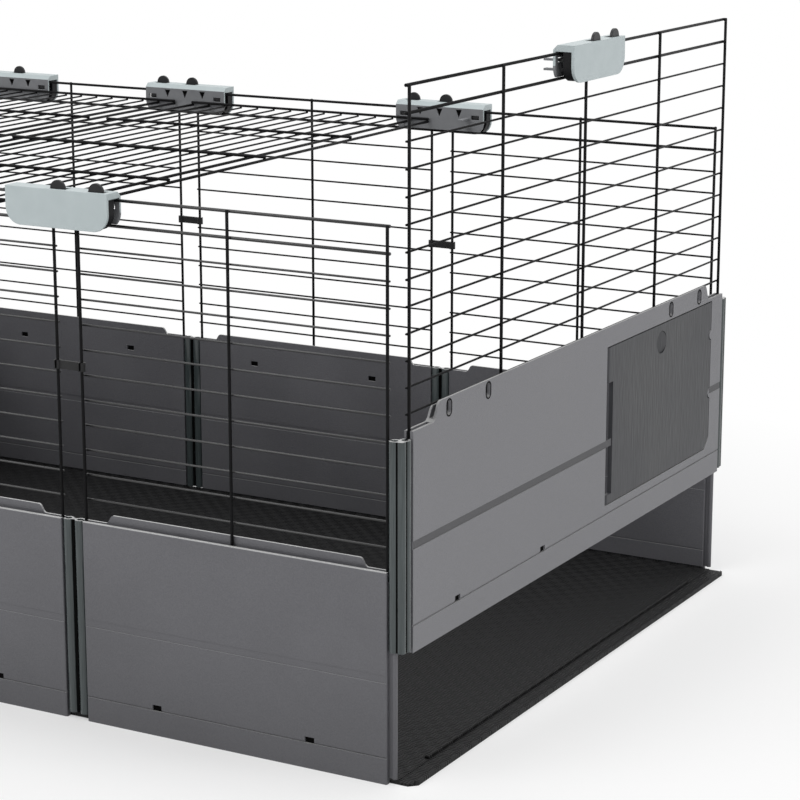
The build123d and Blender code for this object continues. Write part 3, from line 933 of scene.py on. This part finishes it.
def upright_bar(x, y, half_x, half_y, node):
    """Box as tall as a strip, a little short of both its ends."""
    low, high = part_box(node)
    inset = Vector((0, 0, BAR_SHORT))
    size = Vector((half_x, half_y, 0))
    return Vector((x, y, low.z)) - size + inset, Vector((x, y, high.z)) + size - inset


valleys = {"cage": [], "lift_wall": []}
for name in sorted(nodes):
    if "joint_strip" in name:
        low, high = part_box(name)
        middle = (low + high) / 2
        for side in (-1, 1):
            y = middle.y + side * JOINT_VALLEY
            valleys["cage"].append(upright_bar(middle.x, y, *JOINT_BAR, name))
    if "corner_strip" in name:
        low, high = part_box(name)
        sx = math.copysign(1, low.x)
        sy = math.copysign(1, low.y)
        bars = valleys[body_of_node[name]]
        x, y = sx * (END_PLANE - CORNER_IN), sy * (LONG_PLANE + CORNER_OUT)
        bars.append(upright_bar(x, y, *CORNER_BAR, name))
        x, y = sx * (END_PLANE + CORNER_OUT), sy * (LONG_PLANE - CORNER_IN)
        bars.append(upright_bar(x, y, *CORNER_BAR[::-1], name))
# The bars are painted shade in the valleys of the strips.
for body, bars in valleys.items():
    marks.append(plates("strip_valley_shades_" + body, body, bars, painted_shade_black))
print({body: len(bars) for body, bars in valleys.items()}, "dark valleys")

# %% [markdown]
# The inside of each clip has three small triangular recesses, and each hook slot in the end
# walls has a dark rim. Both dark marks are painted shade: a black triangle on the floor of each
# recess and a black ring round each slot. They are outlines pushed to a small thickness, so one
# helper that extrudes a ring of points serves for the two. The triangles lie in their recesses;
# the rims stand a quarter of a millimetre out from the wall.

# %% Triangles in the clips and rims round the hook slots
RECESS_FLOOR = 0.00675  # floor of a clip's recesses, inwards from the wall's middle plane
TRIANGLE_TOP = 0.0068  # top edge of the triangles, below the clip's top
TRIANGLE_APART, TRIANGLE_HALF, TRIANGLE_TALL = 0.025, 0.0036, 0.0082
TRIANGLE_THICK = 0.0003
HOOK_PLACES = (-0.282, -0.207, 0.207, 0.282)  # along an end wall
HOOK_LEVEL = 0.2075  # above the wall's base
HOOK_SLOT, HOOK_RIM = (0.0080, 0.0140), (0.0104, 0.0164)  # width and height
RIM_PROUD = 0.00025
STADIUM_POINTS = 32


def slab(mesh, outer, push, inner=None):
    """Adds a closed slab: an outline, with a hole where one is given, pushed along a vector."""
    rings = [[mesh.verts.new(point) for point in outer]]
    if inner:
        rings.append([mesh.verts.new(point) for point in inner])
    pushed = [[mesh.verts.new(vert.co + push) for vert in ring] for ring in rings]
    count = len(outer)
    pairs = [(i, (i + 1) % count) for i in range(count)]
    for ring, far in zip(rings, pushed):
        for i, j in pairs:
            mesh.faces.new((ring[i], ring[j], far[j], far[i]))
    for level in (rings, pushed):
        if inner:
            for i, j in pairs:
                mesh.faces.new((level[0][i], level[0][j], level[1][j], level[1][i]))
        else:
            mesh.faces.new(level[0])


def slab_piece(name, body, slabs, finish):
    """Piece made of several slabs, with every face turned outwards."""
    mesh = bmesh.new()
    for values in slabs:
        slab(mesh, *values)
    bmesh.ops.recalc_face_normals(mesh, faces=mesh.faces)
    return mark_piece(mesh, name, body, finish)


def clip_triangles(node):
    """Three slabs of painted shade on the floors of the recesses inside a clip."""
    inward, wall = inward_of(node)
    along = Vector((-inward.y, inward.x, 0))
    low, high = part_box(node)
    middle = (low + high) / 2
    start = along * middle.dot(along) + inward * (RECESS_FLOOR - wall)
    top = high.z - TRIANGLE_TOP
    push = inward * TRIANGLE_THICK
    made = []
    for shift in (-TRIANGLE_APART, 0.0, TRIANGLE_APART):
        points = (
            (shift - TRIANGLE_HALF, top), (shift + TRIANGLE_HALF, top), (shift, top - TRIANGLE_TALL)
        )
        made.append(([start + along * a + Vector((0, 0, z)) for a, z in points], push))
    return made


def stadium(width, tall, place):
    """Points of an upright round-ended outline, turned into space by a function."""
    radius = width / 2
    rise = tall / 2 - radius
    points = []
    for i in range(STADIUM_POINTS):
        angle = 2 * math.pi * (i + 0.5) / STADIUM_POINTS
        lift = rise if math.sin(angle) > 0 else -rise
        points.append(place(radius * math.cos(angle), radius * math.sin(angle) + lift))
    return points


def hook_slot_shades(side, base):
    """Flat rims of painted shade round the hook slots of an end wall; side is +1 for the right
    wall.
    """
    made = []
    push = Vector((side * RIM_PROUD, 0, 0))
    for along in HOOK_PLACES:
        def place(a, z, along=along):
            return Vector((side * END_FACE, side * (along + a), base + HOOK_LEVEL + z))
        made.append((stadium(*HOOK_RIM, place), push, stadium(*HOOK_SLOT, place)))
    return made


triangles = {"cage": [], "lift_wall": []}
for name in sorted(nodes):
    if name.startswith("clip_shell"):
        triangles[body_of_node[name]] += clip_triangles(name)
# Black triangles of painted shade in the recesses of the clips.
for body, made in triangles.items():
    marks.append(slab_piece("clip_recess_shades_" + body, body, made, painted_shade_black))
# Black rings of painted shade round the hook slots.
left_rims, right_rims = hook_slot_shades(-1, LEFT_BASE), hook_slot_shades(1, RIGHT_BASE)
marks += [
    slab_piece("hook_slot_shades_left_wall", "cage", left_rims, painted_shade_black),
    slab_piece("hook_slot_shades_lift_wall", "lift_wall", right_rims, painted_shade_black),
]
print(len(marks), "pieces of marks in all")

# %% [markdown]
# ## Floor, light and background
# The floor is a plain pale plane that fades to white away from the cage, so that it has no
# horizon. Light Path gives a white background to the camera and to reflections, while the
# lamps and the world keep a plain level on the object.

# %% Stage
WORLD_LIGHT = 0.5
FLOOR_HALF = 9.0  # half the side of the floor plane
FADE_START, FADE_END = 0.5, 1.1  # distances from the middle of the cage
FLOOR_WHITE = (0.35, 1.0)  # how white the floor is seen, near the cage and far from it


def white_to_camera(tree, seen, other, amount=1.0):
    """Mixes a white emission in, by an amount, for camera, glossy and transmission rays."""
    path = add_node(tree, "ShaderNodeLightPath")
    rays = [path.outputs[n] for n in ("Is Camera Ray", "Is Glossy Ray", "Is Transmission Ray")]
    both = add_node(tree, "ShaderNodeMath", {0: rays[0], 1: rays[1]}, operation="MAXIMUM")
    every = add_node(tree, "ShaderNodeMath", {0: both.outputs[0], 1: rays[2]}, operation="MAXIMUM")
    part = add_node(tree, "ShaderNodeMath", {0: every.outputs[0], 1: amount}, operation="MULTIPLY")
    mix = add_node(tree, "ShaderNodeMixShader", {0: part.outputs[0]})
    tree.links.new(other, mix.inputs[1])
    tree.links.new(seen, mix.inputs[2])
    return mix.outputs[0]


def make_world():
    """Plain world light, white where it is looked at."""
    world = bpy.data.worlds.new("studio")
    world.use_nodes = True
    bpy.context.scene.world = world
    tree = world.node_tree
    tree.nodes.clear()
    lit = add_node(tree, "ShaderNodeBackground", {"Color": (1, 1, 1, 1), "Strength": WORLD_LIGHT})
    seen = add_node(tree, "ShaderNodeBackground", {"Color": (1, 1, 1, 1), "Strength": 1.0})
    out = add_node(tree, "ShaderNodeOutputWorld")
    tree.links.new(white_to_camera(tree, seen.outputs[0], lit.outputs[0]), out.inputs[0])


def make_floor():
    """Pale matt floor under the mat."""
    mesh = bpy.data.meshes.new("floor")
    level = cad_box[0].z
    signs = ((-1, -1), (1, -1), (1, 1), (-1, 1))
    corners = [(sx * FLOOR_HALF, sy * FLOOR_HALF, level) for sx, sy in signs]
    mesh.from_pydata(corners, [], [(0, 1, 2, 3)])
    floor = bpy.data.objects.new("floor", mesh)
    bpy.context.scene.collection.objects.link(floor)
    material, tree, shader, place = new_finish("pale floor", (0.9, 0.9, 0.9), 0.9)
    shader.inputs["Specular IOR Level"].default_value = 0.1
    far = add_node(tree, "ShaderNodeVectorMath", {0: place}, operation="LENGTH").outputs["Value"]
    fade = ramp(tree, far, *FLOOR_WHITE, FADE_START, FADE_END)
    white = add_node(tree, "ShaderNodeEmission", {"Color": (1, 1, 1, 1), "Strength": 1.0})
    blended = white_to_camera(tree, white.outputs[0], shader.outputs[0], fade)
    tree.links.new(blended, tree.nodes["Material Output"].inputs[0])
    mesh.materials.append(material)
    floor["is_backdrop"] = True


def area_lamp(name, place, aim, size, power):
    """Soft square lamp aimed at a point."""
    data = bpy.data.lights.new(name, "AREA")
    data.size = size
    data.energy = power
    lamp = bpy.data.objects.new(name, data)
    lamp.location = place
    lamp.rotation_euler = (Vector(aim) - Vector(place)).to_track_quat("-Z", "Y").to_euler()
    bpy.context.scene.collection.objects.link(lamp)
    return lamp


make_world()
make_floor()
lamps = [
    area_lamp("key lamp", (-1.2, -2.6, 2.6), (0, 0, 0.2), 2.2, 46),
    area_lamp("side lamp", (3.0, -0.4, 2.0), (0.2, 0, 0.2), 2.0, 26),
    area_lamp("top lamp", (0.2, 0.6, 3.2), (0, 0, 0.2), 2.4, 30),
]
scene = bpy.context.scene
scene.view_settings.view_transform = "Standard"
print(len(lamps), "lamps")

# %% [markdown]
# ## Sizes
# The box of all that is shown is set beside the CAD box, so that the two can be compared, and
# it is printed. The visual model should not be bigger than the cage.

# %% Sizes
shown_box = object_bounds()
sizes = {"cad": [list(c) for c in cad_box], "visual": [list(c) for c in shown_box]}
print("visual box", sizes["visual"])
